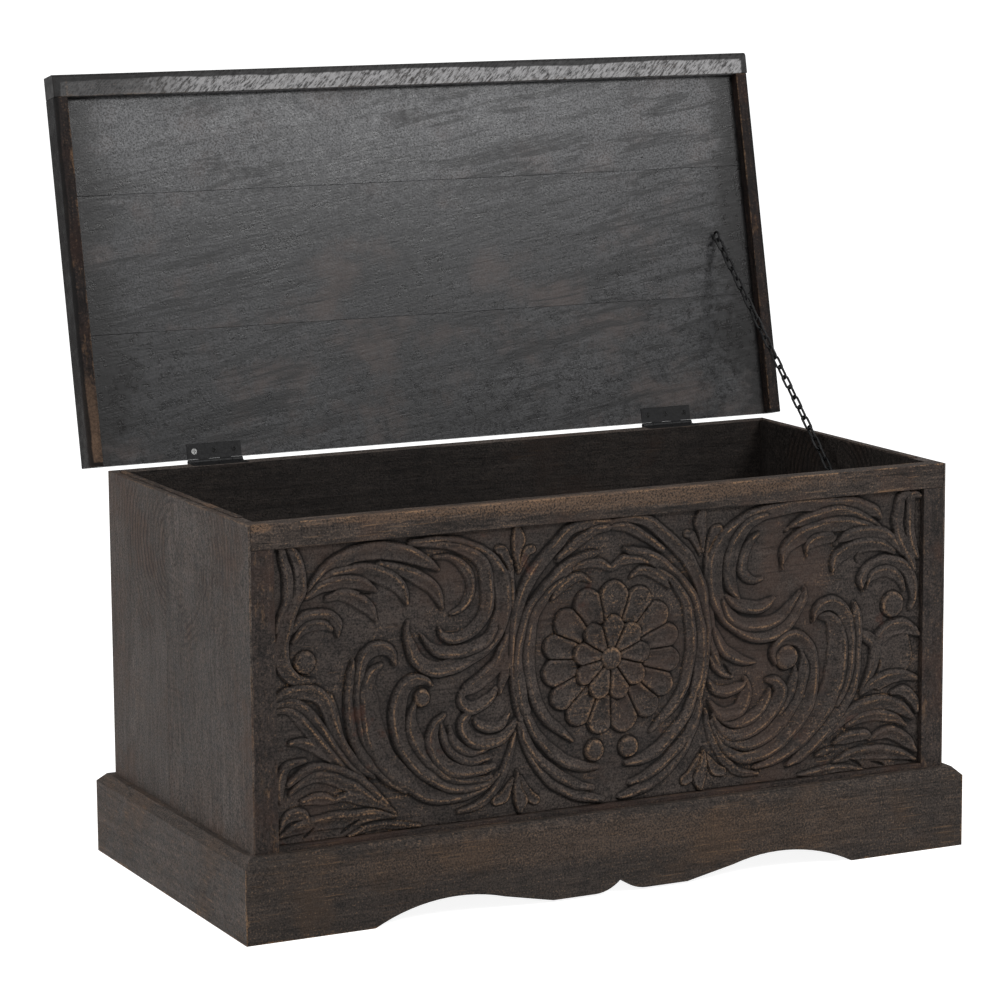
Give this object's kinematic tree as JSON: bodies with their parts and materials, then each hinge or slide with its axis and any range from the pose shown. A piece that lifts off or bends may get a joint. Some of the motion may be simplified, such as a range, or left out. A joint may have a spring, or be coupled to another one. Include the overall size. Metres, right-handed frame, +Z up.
{
  "type": "carved wooden trunk",
  "caption": "Low wooden trunk with a deeply carved front panel, scalloped plinth and a hinged plank lid held open by a chain.",
  "frame": {"origin": "on the floor, at the middle of the plinth's back edge", "axes": "+X along the width to the trunk's right as seen from the front, +Y from the front to the hinged back, +Z up"},
  "size_m": [0.95, 0.5703, 0.9318],
  "materials": {
    "frame_wood": "dark stained and waxed, worn on the edges",
    "carved_wood": "dark stained, high points rubbed to a warm tan",
    "plinth_wood": "dark stained, scuffed",
    "inner_wood": "dark, matt",
    "lid_wood": "near-black satin paint with brush marks",
    "black_iron": "black, satin",
    "screw_steel": "blackened steel, satin"
  },
  "bodies": {
    "carcass": {"front_top_rail": "frame_wood", "front_bottom_rail": "frame_wood", "front_left_stile": "frame_wood", "front_right_stile": "frame_wood", "carved_panel": "carved_wood", "left_side_front_board": "frame_wood", "left_side_rear_board": "frame_wood", "right_side_front_board": "frame_wood", "right_side_rear_board": "frame_wood", "left_rim_lath": "frame_wood", "right_rim_lath": "frame_wood", "back_upper_board": "frame_wood", "back_lower_board": "frame_wood", "bottom_front_board": "inner_wood", "bottom_rear_board": "inner_wood", "bottom_cleat_front": "inner_wood", "bottom_cleat_rear": "inner_wood", "bottom_cleat_left": "inner_wood", "bottom_cleat_right": "inner_wood", "front_apron": "plinth_wood", "rear_apron": "plinth_wood", "left_apron": "plinth_wood", "right_apron": "plinth_wood", "left_hinge_wall_leaf": "black_iron", "right_hinge_wall_leaf": "black_iron", "left_hinge_pin": "black_iron", "right_hinge_pin": "black_iron", "wall_hinge_screws": "screw_steel", "wall_chain_eye": "black_iron"},
    "lid": {"lid_rear_board": "lid_wood", "lid_middle_board": "lid_wood", "lid_front_board": "lid_wood", "lid_front_lip": "lid_wood", "lid_left_lip": "lid_wood", "lid_right_lip": "lid_wood", "left_hinge_lid_leaf": "black_iron", "right_hinge_lid_leaf": "black_iron", "lid_hinge_screws": "screw_steel", "lid_chain_eye": "black_iron"},
    "upper_chain": {"chain_lid_links": "black_iron"},
    "lower_chain": {"chain_wall_links": "black_iron"}
  },
  "joints": [
    {"name": "lid_hinge", "type": "hinge", "parent": "carcass", "child": "lid", "pos_m": [0, -0.0144, 0.468], "axis": [1, 0, 0], "range_deg": [0, 102]},
    {"name": "upper_chain_swing", "type": "hinge", "parent": "lid", "child": "upper_chain", "pos_m": [0.407, 0.02663, 0.69953], "axis": [1, 0, 0], "range_deg": [-60.4, 0]},
    {"name": "lower_chain_swing", "type": "hinge", "parent": "carcass", "child": "lower_chain", "pos_m": [0.42077, -0.24267, 0.42166], "axis": [1, 0, 0], "range_deg": [-133, 0]}
  ],
  "couplings": [
    {"joint": "upper_chain_swing", "follows": "lid_hinge", "ratio": -0.592},
    {"joint": "lower_chain_swing", "follows": "lid_hinge", "ratio": -1.303}
  ]
}
